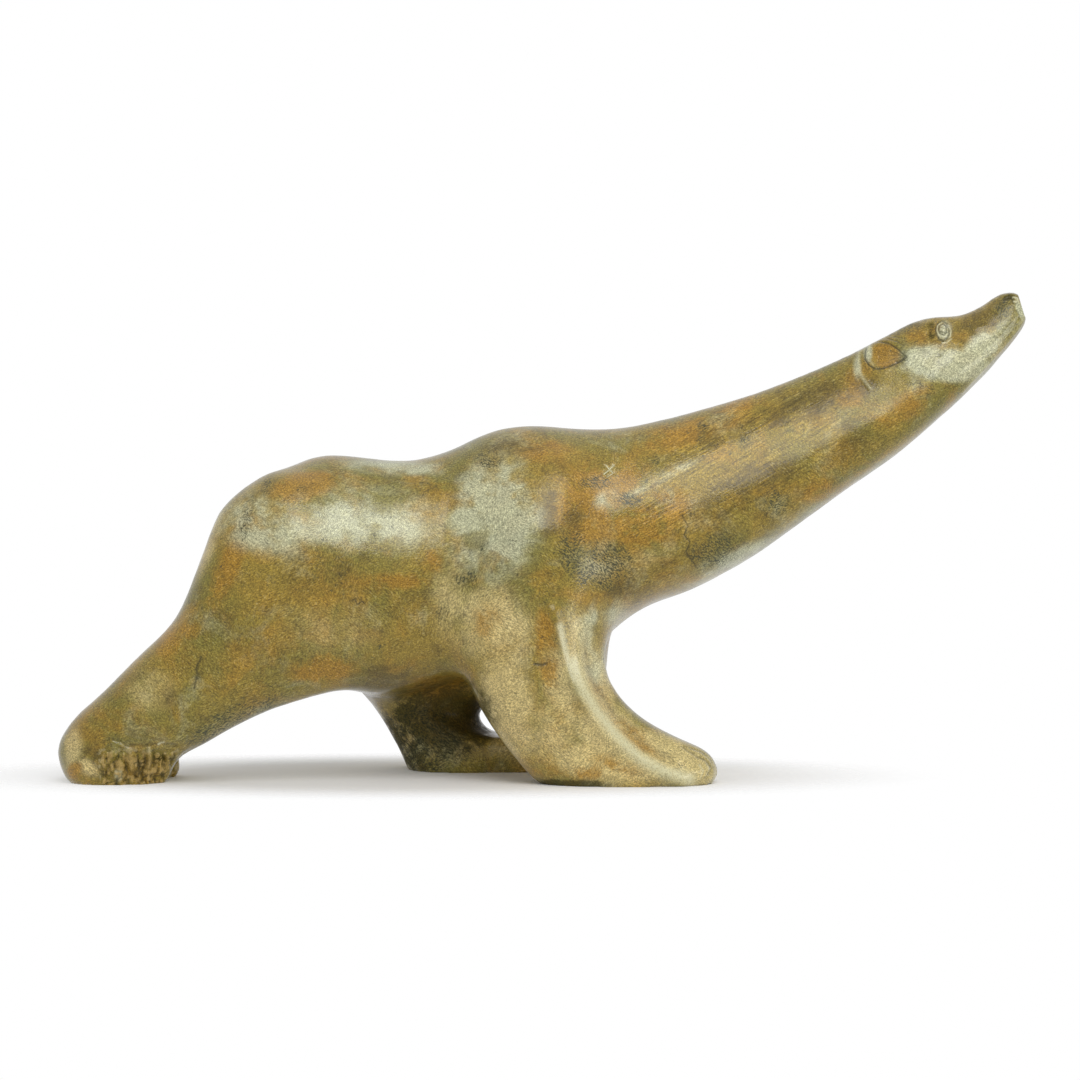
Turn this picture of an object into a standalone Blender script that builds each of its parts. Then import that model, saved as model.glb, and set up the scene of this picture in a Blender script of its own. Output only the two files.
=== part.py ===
"""A bronze polar bear, walking, with its neck and head stretched forward and up.

The bear is cast in one. It faces +X, its right side faces -Y, and it stands on
the soles of its feet at z = 0. Free forms are set in hundredths of the bear's
length, measured from the heel of its right hind foot (x), from the middle of
its back (y, its right side negative) and from the ground (z).
"""

import bmesh
import bpy
import numpy as np
from mathutils import Vector
from mathutils.bvhtree import BVHTree

# Driving dimensions, in metres
LENGTH = 0.400            # heel of the right hind foot to the tip of the muzzle
BODY_BLEND = 0.028        # reach of the soft blend where limbs meet the body
FOOT_BLEND = 0.009        # the same round the feet
SKIN_VOXEL = 0.0015       # grain of the skin that joins the masses into one
EYE_RADIUS = 0.0026
EYE_HEIGHT = 0.0010
EAR_BOWL = 0.0012         # how far the ear sinks inside its rim
EAR_RIM = 0.0008
TOE_GROOVE = 0.0014       # depth of the chiselled grooves between the toes
SHIN_RIDGE = 0.0016       # height of the crest down the right foreleg

# Counts
RING_POINTS = 56          # points round a cross-section
RINGS_PER_ROW = 8         # cross-sections between two rows of a table
DOME_RINGS = 7            # cross-sections that round off an end
BLEND_PASSES = 260        # smoothing passes over the blends
SKIN_PASSES = 8           # smoothing passes all over
TRIANGLES = 9200          # faces left on the finished solid

BRONZE_COLOR = (0.32, 0.21, 0.09, 1.0)
BRONZE_ROUGHNESS = 0.38
BRONZE_METALLIC = 0.55

SHARE = LENGTH / 100

# Each mass is a run of cross-sections. A row gives the two edges of one
# cross-section as they show from the side (x, z and x, z), then how far its
# middle lies from the bear's middle plane (y), and its half width.
TRUNK_NECK_HEAD = (
    (21.8, 31.7, 24.0, 11.8, 0.0, 8.6),
    (25.7, 33.6, 28.0, 9.4, 0.0, 10.6),
    (30.3, 33.3, 32.0, 8.1, 0.0, 11.3),
    (35.1, 32.8, 36.4, 8.9, 0.0, 11.2),
    (39.3, 33.8, 41.0, 10.3, 0.0, 11.0),
    (43.0, 35.6, 45.8, 11.2, 0.0, 11.0),
    (47.0, 36.7, 50.5, 12.2, 0.0, 11.0),
    (51.2, 36.4, 55.2, 14.0, 0.0, 10.6),
    (56.2, 36.2, 59.0, 17.1, 0.0, 9.8),
    (61.3, 37.0, 65.4, 19.7, 0.0, 8.7),
    (66.5, 38.4, 71.0, 22.8, 0.0, 7.6),
    (71.7, 40.0, 76.1, 26.4, 0.0, 6.7),
    (76.8, 42.0, 81.2, 30.1, 0.0, 6.0),
    (82.0, 44.3, 86.3, 33.7, 0.0, 5.4),
    (85.2, 46.0, 89.1, 36.1, 0.0, 5.2),
    (87.8, 47.3, 91.6, 38.3, 0.0, 5.0),
    (89.9, 47.8, 93.5, 40.1, 0.0, 4.6),
    (92.3, 47.9, 95.2, 41.8, 0.0, 3.8),
    (94.9, 49.0, 97.3, 44.2, 0.0, 2.9),
    (96.9, 50.3, 98.8, 46.1, 0.0, 2.4),
    (98.3, 50.6, 99.4, 47.1, 0.0, 1.9),
)
# How much wider that mass is low down than high up, at some places along x
TRUNK_SPREAD = (
    (20.0, 0.08), (40.0, 0.15), (55.0, 0.20), (63.0, 0.27), (75.0, 0.36), (88.0, 0.46), (97.0, 0.40)
)
RIGHT_FORELEG = (
    (53.5, 32.5, 46.5, 31.5, -3.0, 6.0),
    (55.8, 28.0, 42.6, 27.5, -5.0, 6.6),
    (56.5, 22.5, 40.6, 22.6, -6.0, 6.6),
    (56.1, 16.0, 39.6, 16.4, -6.8, 6.1),
    (55.6, 12.2, 40.7, 11.6, -7.4, 5.5),
    (56.5, 9.6, 42.6, 7.8, -7.8, 5.1),
    (59.2, 6.7, 44.5, 5.0, -8.1, 4.9),
    (63.0, 4.6, 46.3, 2.6, -8.2, 4.8),
    (66.4, 2.8, 48.4, 0.3, -8.3, 4.8),
    (67.1, 0.8, 50.4, -1.2, -8.3, 4.7),
    (65.4, -1.6, 52.4, -2.6, -8.3, 4.4),
)
RIGHT_HIND_LEG = (
    (20.9, 32.1, 36.0, 12.5, -4.0, 7.4),
    (16.2, 28.5, 32.6, 10.3, -4.8, 7.0),
    (14.0, 22.9, 28.0, 9.0, -5.6, 6.4),
    (11.6, 16.9, 22.1, 7.6, -6.2, 5.6),
    (7.6, 12.7, 17.6, 5.6, -6.6, 5.1),
    (4.0, 9.1, 14.4, 3.8, -6.9, 4.9),
    (0.8, 6.0, 11.8, 2.2, -6.9, 4.8),
    (-0.6, 2.9, 10.6, -0.6, -6.6, 4.8),
    (0.3, 0.3, 9.6, -2.0, -6.4, 4.6),
    (2.3, -2.0, 8.6, -3.5, -6.2, 4.2),
)
LEFT_HIND_LEG = (
    (26.0, 31.0, 40.0, 22.0, 3.8, 7.0),
    (18.6, 28.0, 43.0, 18.5, 4.8, 7.2),
    (18.4, 21.0, 45.0, 15.5, 5.6, 6.9),
    (22.8, 14.2, 46.0, 12.0, 6.3, 6.4),
    (28.1, 10.0, 46.0, 9.2, 6.7, 6.0),
    (31.3, 6.4, 45.5, 6.4, 6.9, 5.8),
    (33.1, 3.6, 46.0, 3.6, 7.0, 5.8),
    (34.4, 1.0, 46.5, 1.0, 7.0, 5.8),
    (35.2, -2.0, 47.0, -2.0, 7.0, 5.7),
)
LEFT_FORELEG = (
    (54.0, 32.0, 44.5, 31.0, 3.6, 5.8),
    (56.5, 25.0, 42.5, 24.5, 5.4, 6.4),
    (56.8, 17.5, 42.5, 16.5, 6.4, 6.1),
    (56.2, 11.5, 45.0, 10.5, 6.9, 5.8),
    (55.8, 7.4, 46.0, 7.6, 7.0, 5.7),
    (56.2, 4.6, 46.5, 5.0, 7.0, 5.7),
    (57.3, 1.0, 46.0, 1.0, 7.0, 5.7),
    (57.6, -2.0, 45.0, -2.0, 7.0, 5.5),
)
# The left feet stand close behind each other and run into one block
LEFT_FEET_BLOCK = (
    (39.5, 12.5, 39.5, -2.5, 6.9, 5.1),
    (43.0, 13.5, 43.0, -2.5, 6.9, 5.6),
    (48.0, 13.5, 48.0, -2.5, 6.9, 5.6),
    (52.0, 12.5, 52.0, -2.5, 6.9, 5.1),
)
# The gap through that block, as ellipses along y: the middle of each (x, z),
# its half length, half height, tilt in degrees and y. It opens like a funnel
# towards the right side.
LEFT_LEGS_GAP = (
    (41.4, 6.1, 8.0, 3.3, -15.0, -0.8),
    (42.2, 5.8, 5.4, 2.0, -15.0, 1.3),
    (44.0, 5.7, 3.5, 1.9, -8.0, 3.6),
    (45.2, 5.6, 3.0, 1.9, 0.0, 6.4),
    (45.4, 5.4, 3.0, 1.9, 0.0, 9.6),
    (45.6, 5.1, 3.5, 2.2, 0.0, 12.4),
    (45.7, 5.0, 4.8, 3.2, 0.0, 14.6),
)
# The right hind foot is turned outwards, so it is laid out along its own sole
HIND_FOOT_TURN = -35.0    # degrees, from straight ahead
HIND_FOOT_HEEL = (5.0, -3.4)
RIGHT_HIND_FOOT = (
    (-1.5, 3.8, -1.0, -2.2, 0.0, 4.0),
    (0.8, 4.3, 1.0, -2.4, 0.0, 5.2),
    (2.8, 4.5, 2.8, -2.4, 0.0, 5.8),
    (4.1, 4.1, 4.1, -2.4, 0.0, 5.6),
)

# Carving, in the same hundredths. Points are (x, z) as seen from the side. A
# pair of limits says where the carving fades in, from none to full.
EAR_CENTRE = (84.9, 43.7)
EAR_HALF_LENGTH = 2.3
EAR_HALF_HEIGHT = 1.9
EAR_TILT = 5.0            # degrees
EAR_RIM_WIDTH = 0.45
EAR_BOWL_EDGE = (0.1, 0.8)
EAR_FADE = (4.6, 2.3)
EYE_CENTRE = (91.0, 46.3)
EYE_SOCKET = (0.85, 0.26, 0.4)           # radius, width, depth as a share of the eye's height
SHIN_CREST = (
    (50.5, 19.0), (51.2, 16.4), (52.8, 10.6), (55.8, 5.5), (58.9, 2.9), (62.7, 1.5), (66.4, 1.3)
)
SHIN_CREST_WIDTH = 0.9
SHIN_FRONT_HOLLOW = (2.6, 1.5, 0.45)     # distance, width, depth as a share of the crest
SHIN_REAR_HOLLOW = (-2.4, 1.3, 0.25)
SHIN_TIP_FADE = (67.5, 65.0)
SHIN_TOP_FADE = (20.0, 15.0)
TOE_GROOVES = (-5.0, -2.5, 0.8, 3.9)     # across the hind foot's sole
TOE_GROOVE_WIDTH = 0.45
TOE_TOP = 4.0
TOE_TOP_FADE = (4.0, 3.2)
TOE_HEEL_FADE = (2.4, 3.4)
TOE_LEDGE = (0.35, 0.6)                  # width, depth as a share of the grooves'
FACING = (0.2, 0.5)                      # sideways part of the normals that a relief needs
# Where each relief may reach
HEAD_FROM = 80.0
FORELEG_FROM = (46.0, -3.0)              # x, y
HIND_FOOT_TO = 14.0
FEET_BELOW = 6.0


def clear_scene():
    for old in list(bpy.data.objects):
        bpy.data.objects.remove(old, do_unlink=True)


def bronze():
    material = bpy.data.materials.new("bronze_patina")
    material.use_nodes = True
    shader = material.node_tree.nodes["Principled BSDF"]
    shader.inputs["Base Color"].default_value = BRONZE_COLOR
    shader.inputs["Roughness"].default_value = BRONZE_ROUGHNESS
    shader.inputs["Metallic"].default_value = BRONZE_METALLIC
    return material


def flow(rows):
    """Rows read off a smooth curve through the table's own rows."""
    rows = np.array(rows, dtype=float)
    middle = (rows[:, 0:2] + rows[:, 2:4]) / 2
    step = np.linalg.norm(np.diff(middle, axis=0), axis=1)
    slope = np.diff(rows, axis=0) / step[:, None]
    tangent = np.empty_like(rows)
    tangent[0], tangent[-1] = slope[0], slope[-1]
    before, after = step[:-1, None], step[1:, None]
    tangent[1:-1] = (slope[:-1] * after + slope[1:] * before) / (before + after)
    smooth = []
    for i, gap in enumerate(step):
        for t in np.arange(RINGS_PER_ROW) / RINGS_PER_ROW:
            smooth.append(
                (2 * t**3 - 3 * t**2 + 1) * rows[i]
                + (t**3 - 2 * t**2 + t) * gap * tangent[i]
                + (3 * t**2 - 2 * t**3) * rows[i + 1]
                + (t**3 - t**2) * gap * tangent[i + 1]
            )
    smooth.append(rows[-1])
    return np.array(smooth)


def domed(rows, first_dome, last_dome):
    """Round off both ends with rows that close in over the dome's length."""
    def dome(row, inner, reach):
        middle = (row[0:2] + row[2:4]) / 2
        away = middle - (inner[0:2] + inner[2:4]) / 2
        away = away / np.linalg.norm(away) * reach
        shift = row[4] - inner[4]
        capped = []
        for k in range(1, DOME_RINGS + 1):
            angle = np.pi / 2 * k / (DOME_RINGS + 0.25)
            centre = middle + away * np.sin(angle)
            close = np.cos(angle)
            capped.append(np.concatenate([
                centre + (row[0:2] - middle) * close,
                centre + (row[2:4] - middle) * close,
                [row[4] + shift * np.sin(angle) * 0.5, row[5] * close],
            ]))
        return capped

    head = dome(rows[0], rows[1], first_dome)[::-1]
    tail = dome(rows[-1], rows[-2], last_dome)
    return np.array(head + list(rows) + tail)


def closed_skin(rings):
    """A closed mesh through rings of points."""
    mesh = bmesh.new()
    rings = [[mesh.verts.new(Vector(point) * SHARE) for point in ring] for ring in rings]
    for ring, following in zip(rings, rings[1:]):
        for i in range(RING_POINTS):
            j = (i + 1) % RING_POINTS
            mesh.faces.new((ring[i], ring[j], following[j], following[i]))
    mesh.faces.new(rings[0])
    mesh.faces.new(rings[-1])
    bmesh.ops.recalc_face_normals(mesh, faces=mesh.faces)
    return mesh


def loft(rows, fullness=2.2, spread=((0.0, 0.0),)):
    """A closed skin over the rows. A higher fullness squares the sections."""
    angle = np.arange(RING_POINTS) * 2 * np.pi / RING_POINTS
    up = np.sign(np.cos(angle)) * np.abs(np.cos(angle)) ** (2 / fullness)
    out = np.sign(np.sin(angle)) * np.abs(np.sin(angle)) ** (2 / fullness)
    spread_x, spread_share = zip(*spread)
    rings = []
    for ax, az, bx, bz, side, half_width in rows:
        x = (ax + bx) / 2 + (ax - bx) / 2 * up
        z = (az + bz) / 2 + (az - bz) / 2 * up
        lower = np.interp((ax + bx) / 2, spread_x, spread_share)
        rings.append(np.column_stack((x, side + half_width * out * (1 - lower * up), z)))
    return closed_skin(rings)


def gap_shape():
    """The space that the gap between the left legs takes."""
    angle = np.arange(RING_POINTS) * 2 * np.pi / RING_POINTS
    rings = []
    for x, z, half_length, half_height, tilt, y in LEFT_LEGS_GAP:
        along = half_length * np.cos(angle)
        across = half_height * np.sin(angle)
        turn = np.radians(tilt)
        rings.append(np.column_stack((
            x + along * np.cos(turn) - across * np.sin(turn),
            np.full(RING_POINTS, y),
            z + along * np.sin(turn) + across * np.cos(turn),
        )))
    return closed_skin(rings)


def turned_foot(mesh):
    """Move the hind foot from its own axes to its place under the leg."""
    turn = np.radians(HIND_FOOT_TURN)
    ahead = Vector((np.cos(turn), np.sin(turn), 0))
    across = Vector((-np.sin(turn), np.cos(turn), 0))
    heel = Vector((*HIND_FOOT_HEEL, 0)) * SHARE
    for vert in mesh.verts:
        vert.co = heel + ahead * vert.co.x + across * vert.co.y + Vector((0, 0, vert.co.z))
    return mesh


def masses():
    """The lofted masses that the bear is blended from, each with its blend."""
    return [
        (loft(domed(flow(TRUNK_NECK_HEAD), 5.0, 0.5), spread=TRUNK_SPREAD), BODY_BLEND),
        (loft(domed(flow(RIGHT_FORELEG), 2.5, 1.5), fullness=2.3), BODY_BLEND),
        (loft(domed(flow(RIGHT_HIND_LEG), 4.0, 1.5), fullness=2.2), BODY_BLEND),
        (loft(domed(flow(LEFT_HIND_LEG), 3.0, 1.0), fullness=2.4), BODY_BLEND),
        (loft(domed(flow(LEFT_FORELEG), 2.5, 1.0), fullness=2.4), BODY_BLEND),
        (turned_foot(loft(domed(flow(RIGHT_HIND_FOOT), 2.0, 0.8), fullness=2.8)), FOOT_BLEND),
        (loft(domed(flow(LEFT_FEET_BLOCK), 1.0, 1.0), fullness=3.0), BODY_BLEND),
    ]


def evaluated_mesh(obj):
    """The object's mesh with its modifiers worked in."""
    graph = bpy.context.evaluated_depsgraph_get()
    return bpy.data.meshes.new_from_object(obj.evaluated_get(graph))


def work_in_modifiers(obj):
    mesh = evaluated_mesh(obj)
    obj.modifiers.clear()
    old = obj.data
    obj.data = mesh
    bpy.data.meshes.remove(old)


def add_object(name, shape):
    mesh = bpy.data.meshes.new(name)
    shape.to_mesh(mesh)
    obj = bpy.data.objects.new(name, mesh)
    bpy.context.scene.collection.objects.link(obj)
    return obj


def add_skin(obj):
    remesh = obj.modifiers.new("skin", "REMESH")
    remesh.mode = "VOXEL"
    remesh.voxel_size = SKIN_VOXEL


def add_smoothing(obj, passes, group=""):
    smooth = obj.modifiers.new("smooth", "SMOOTH")
    smooth.factor = 0.5
    smooth.iterations = passes
    smooth.vertex_group = group


def skin_over(parts):
    """One watertight skin round all the masses."""
    whole = bmesh.new()
    for part, _ in parts:
        piece = bpy.data.meshes.new("mass")
        part.to_mesh(piece)
        whole.from_mesh(piece)
        bpy.data.meshes.remove(piece)
    bear = add_object("bear", whole)
    whole.free()
    add_skin(bear)
    work_in_modifiers(bear)
    return bear


def vertex_array(mesh, name="co"):
    values = np.empty(len(mesh.vertices) * 3)
    mesh.vertices.foreach_get(name, values)
    return values.reshape(-1, 3)


def set_group(obj, name, weights):
    group = obj.vertex_groups.get(name) or obj.vertex_groups.new(name=name)
    levels = np.clip(np.round(weights * 20), 0, 20).astype(int)
    for level in range(1, 21):
        members = np.nonzero(levels == level)[0].tolist()
        if members:
            group.add(members, level / 20, "REPLACE")


def blend_masses(bear, parts):
    """Smooth the skin where it lies close to two masses at once."""
    trees = [BVHTree.FromBMesh(mesh) for mesh, _ in parts]
    reach = np.array([blend for _, blend in parts])
    points = [vert.co for vert in bear.data.vertices]
    near = np.array([[tree.find_nearest(p)[3] for tree in trees] for p in points])
    order = np.argsort(near, axis=1)
    second = np.take_along_axis(near, order, axis=1)[:, 1]
    blend = np.minimum(reach[order[:, 0]], reach[order[:, 1]])
    weight = np.clip(1 - second / blend, 0, 1)
    weight = weight * weight * (3 - 2 * weight) * (blend / BODY_BLEND) ** 2
    set_group(bear, "blend", weight)
    add_smoothing(bear, BLEND_PASSES, "blend")
    work_in_modifiers(bear)


def open_gap(bear):
    """Cut the gap between the left legs and soften its rims."""
    shape = gap_shape()
    cutter = add_object("gap", shape)
    shape.free()
    cut = bear.modifiers.new("gap", "BOOLEAN")
    cut.operation = "DIFFERENCE"
    cut.solver = "EXACT"
    cut.object = cutter
    add_skin(bear)
    add_smoothing(bear, SKIN_PASSES)
    work_in_modifiers(bear)
    bpy.data.objects.remove(cutter, do_unlink=True)


def refine(bear):
    """Halve the skin's grain over the head and the right feet."""
    mesh = bmesh.new()
    mesh.from_mesh(bear.data)

    def fine(vert):
        x, z = vert.co.x / SHARE, vert.co.z / SHARE
        return x > HEAD_FROM or (z < FEET_BELOW and vert.co.y < 0)

    edges = [edge for edge in mesh.edges if fine(edge.verts[0]) and fine(edge.verts[1])]
    bmesh.ops.subdivide_edges(mesh, edges=edges, cuts=1, use_grid_fill=True)
    mesh.to_mesh(bear.data)
    mesh.free()


def bell(distance, width):
    return np.exp(-((distance / width) ** 2))


def ramp(value, low, high):
    t = np.clip((value - low) / (high - low), 0, 1)
    return t * t * (3 - 2 * t)


def line_distance(points, line):
    """Distance from each point to a line of straight runs, signed by its side."""
    best = np.full(len(points), np.inf)
    signed = np.zeros(len(points))
    for start, end in zip(np.array(line[:-1]), np.array(line[1:])):
        run = end - start
        t = np.clip((points - start) @ run / (run @ run), 0, 1)
        gap = points - (start + t[:, None] * run)
        distance = np.hypot(gap[:, 0], gap[:, 1])
        side = np.sign(run[0] * gap[:, 1] - run[1] * gap[:, 0])
        closer = distance < best
        best[closer] = distance[closer]
        signed[closer] = (side * distance)[closer]
    return signed


def ear_relief(points):
    """A bowl inside a raised rim, pointed towards the eye."""
    tilt = np.radians(EAR_TILT)
    turn = np.array(((np.cos(tilt), -np.sin(tilt)), (np.sin(tilt), np.cos(tilt))))
    local = (points[:, (0, 2)] - EAR_CENTRE) @ turn
    angle = np.linspace(0, 2 * np.pi, 49)
    outline = np.column_stack((
        EAR_HALF_LENGTH * np.cos(angle),
        EAR_HALF_HEIGHT * np.sin(angle) * np.sin(angle / 2),
    ))
    inside = line_distance(local, outline)
    bowl = EAR_RIM * bell(inside, EAR_RIM_WIDTH) - EAR_BOWL * ramp(inside, *EAR_BOWL_EDGE)
    return bowl * ramp(np.hypot(local[:, 0], local[:, 1]), *EAR_FADE)


def eye_relief(points):
    """A small ball in a shallow socket."""
    distance = np.hypot(points[:, 0] - EYE_CENTRE[0], points[:, 2] - EYE_CENTRE[1])
    ball = np.sqrt(np.clip(1 - (distance * SHARE / EYE_RADIUS) ** 2, 0, 1))
    radius, width, depth = EYE_SOCKET
    return EYE_HEIGHT * (ball - depth * bell(distance - radius, width))


def shin_relief(points):
    """A crest down the right foreleg with a hollow on each side of it."""
    across = line_distance(points[:, (0, 2)], SHIN_CREST)
    shape = bell(across, SHIN_CREST_WIDTH)
    for place, width, depth in (SHIN_FRONT_HOLLOW, SHIN_REAR_HOLLOW):
        shape -= depth * bell(across - place, width)
    return SHIN_RIDGE * shape * ramp(points[:, 0], *SHIN_TIP_FADE) * ramp(points[:, 2], *SHIN_TOP_FADE)


def toe_relief(points):
    """Grooves between the hind foot's toes, under a cut ledge."""
    turn = np.radians(HIND_FOOT_TURN)
    offset = points[:, 0:2] - HIND_FOOT_HEEL
    ahead = offset @ (np.cos(turn), np.sin(turn))
    across = offset @ (-np.sin(turn), np.cos(turn))
    grooves = sum(bell(across - place, TOE_GROOVE_WIDTH) for place in TOE_GROOVES)
    width, depth = TOE_LEDGE
    cuts = grooves * ramp(points[:, 2], *TOE_TOP_FADE) + depth * bell(points[:, 2] - TOE_TOP, width)
    return -TOE_GROOVE * cuts * ramp(ahead, *TOE_HEEL_FADE)


def carve(bear):
    """Raise and sink the skin along its normals."""
    points = vertex_array(bear.data) / SHARE
    normals = vertex_array(bear.data, "normal")
    head = points[:, 0] > HEAD_FROM
    foreleg = (points[:, 0] > FORELEG_FROM[0]) & (points[:, 1] < FORELEG_FROM[1])
    hind_foot = (points[:, 0] < HIND_FOOT_TO) & (points[:, 2] < FEET_BELOW)
    face = (ear_relief(points) + eye_relief(points)) * ramp(np.abs(normals[:, 1]), *FACING)
    rise = np.where(head, face, 0.0)
    rise += np.where(foreleg, shin_relief(points) * ramp(-normals[:, 1], *FACING), 0.0)
    rise += np.where(hind_foot, toe_relief(points), 0.0)
    moved = points * SHARE + normals * rise[:, None]
    bear.data.vertices.foreach_set("co", moved.ravel())
    bear.data.update()


def simplify(bear):
    """Bring the skin down to the wanted number of triangles."""
    decimate = bear.modifiers.new("facets", "DECIMATE")
    faces = sum(len(face.vertices) - 2 for face in bear.data.polygons)
    decimate.ratio = TRIANGLES / faces
    decimate.use_collapse_triangulate = True
    work_in_modifiers(bear)


def flat_soles(bear):
    """Cut the feet off level with the ground and close the cuts."""
    mesh = bmesh.new()
    mesh.from_mesh(bear.data)
    everything = mesh.verts[:] + mesh.edges[:] + mesh.faces[:]
    cut = bmesh.ops.bisect_plane(
        mesh, geom=everything, dist=1e-6, plane_co=(0, 0, 0), plane_no=(0, 0, 1), clear_inner=True
    )
    rim = [item for item in cut["geom_cut"] if isinstance(item, bmesh.types.BMEdge)]
    bmesh.ops.edgeloop_fill(mesh, edges=rim)
    for vert in mesh.verts:
        if abs(vert.co.z) < 1e-5:
            vert.co.z = 0.0
    bmesh.ops.recalc_face_normals(mesh, faces=mesh.faces)
    bmesh.ops.triangulate(mesh, faces=mesh.faces)
    mesh.to_mesh(bear.data)
    mesh.free()


def centre_on_ground(bear):
    """Put the origin under the middle of the bear's box."""
    points = vertex_array(bear.data)
    low, high = points.min(axis=0), points.max(axis=0)
    points[:, 0:2] -= (low[0:2] + high[0:2]) / 2
    bear.data.vertices.foreach_set("co", points.ravel())
    bear.data.update()


def main():
    clear_scene()
    parts = masses()
    bear = skin_over(parts)
    blend_masses(bear, parts)
    for mesh, _ in parts:
        mesh.free()
    open_gap(bear)
    refine(bear)
    carve(bear)
    simplify(bear)
    flat_soles(bear)
    centre_on_ground(bear)
    bear.data.materials.clear()
    bear.data.materials.append(bronze())


main()
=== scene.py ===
"""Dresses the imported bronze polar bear: its cast and chased skin, its waxed patina and the studio."""
import math

import bpy
import numpy as np
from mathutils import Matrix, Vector


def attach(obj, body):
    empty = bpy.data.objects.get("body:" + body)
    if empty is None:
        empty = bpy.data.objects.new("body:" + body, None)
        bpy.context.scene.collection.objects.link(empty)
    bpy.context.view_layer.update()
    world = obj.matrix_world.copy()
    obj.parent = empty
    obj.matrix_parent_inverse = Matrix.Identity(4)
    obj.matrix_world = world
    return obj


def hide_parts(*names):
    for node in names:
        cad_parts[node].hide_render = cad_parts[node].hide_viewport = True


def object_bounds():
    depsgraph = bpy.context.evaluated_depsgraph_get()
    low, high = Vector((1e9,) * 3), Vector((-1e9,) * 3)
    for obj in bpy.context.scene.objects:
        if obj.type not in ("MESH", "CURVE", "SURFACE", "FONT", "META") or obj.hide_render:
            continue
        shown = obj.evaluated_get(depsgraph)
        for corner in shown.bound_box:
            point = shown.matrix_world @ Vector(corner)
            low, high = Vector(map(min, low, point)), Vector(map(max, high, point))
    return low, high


bl_info = {
    "name": "Bronze Polar Bear",
    "version": (1, 0, 0),
    "blender": (4, 5, 0),
    "location": "View3D > Sidebar > Polar Bear",
    "description": "Casts, chases and patinates a walking polar bear and sets up its studio",
    "category": "Object",
}

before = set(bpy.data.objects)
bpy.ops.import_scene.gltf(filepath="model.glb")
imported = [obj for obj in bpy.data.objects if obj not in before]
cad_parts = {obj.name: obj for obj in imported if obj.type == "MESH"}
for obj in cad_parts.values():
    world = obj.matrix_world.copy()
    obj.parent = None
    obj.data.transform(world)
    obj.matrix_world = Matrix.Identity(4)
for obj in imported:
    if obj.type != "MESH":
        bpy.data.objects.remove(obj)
CAD_LOW, CAD_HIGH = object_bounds()

# The camera of the photograph, whose frame is 1080 pixels square.
FRAME_PIXELS = 1080
CAMERA_AT = (-0.0022, -1.500, 0.1493)
CAMERA_PITCH = math.radians(1.95)
LENS_MM = 120.0
SENSOR_MM = 36.0
FOCAL_PIXELS = LENS_MM / SENSOR_MM * FRAME_PIXELS
PIXEL_SIZE = -CAMERA_AT[1] / FOCAL_PIXELS   # of the photograph, in metres on the bear

# Zones of the bear in the photograph's pixels: left, top, right, bottom.
HEAD_ZONE = (835, 280, 1035, 420)
EAR_ZONE = (848, 333, 912, 396)
EYE_ZONE = (922, 312, 962, 360)
MUZZLE_ZONE = (968, 284, 1030, 345)
HIND_FOOT_ZONE = (50, 730, 185, 800)
CHISELLED_ZONE = (95, 746, 182, 797)
CHISELLED_FADE = 9.0     # pixels over which the chiselling sets in from that zone's edge
HEAD_FROM = (800, 900)   # pixels across between which the neck turns into the head

# Heights in metres, and the distance within which the solid's loose corners are merged.
FEET_BELOW = 0.022
ON_FLOOR = 0.0004
MERGED_WITHIN = 0.00001

SMOOTH_FACTOR = 0.5      # of every smoothing pass
FRESH_PASSES = 3         # smoothing passes over faces that were cut in four
SMALL_FORMS_KEPT = 0.75  # share of the smoothing that the feet and the head are spared
WEIGHT_LEVELS = 20       # steps between no weight and full weight in a vertex group

# How much a surface has to face sideways, from none to all of the relief or of one side's patina.
RELIEF_FACING = (0.08, 0.4)
PATINA_FACING = (-0.2, 0.2)

# The skin's soft unevenness: size in metres, share of its height and seed.
UNEVENNESS = ((0.012, 1.0, 3), (0.005, 0.4, 4))

# The chiselled toes: sizes in metres of the facets and of the chips on them, the chips' share of the
# height, the mean that is taken off so that the cuts go in as far as they stand out, and from where
# to where dirt lies in the facets' seams and the chips' tips are bare.
FACET_SIZE = 0.0036
CHIP_SIZE = 0.0016
CHIP_SHARE = 0.5
CHISEL_MEAN = 0.45
FACET_SEAMS = (0.16, 0.02)
CHIP_TIPS = (0.3, 0.55)
SEAM_DIRT = 0.8
TIP_BARENESS = 0.9

PATCH_REACH = 1.4        # how far a patch of patina fades out beyond its stated half sizes

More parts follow.
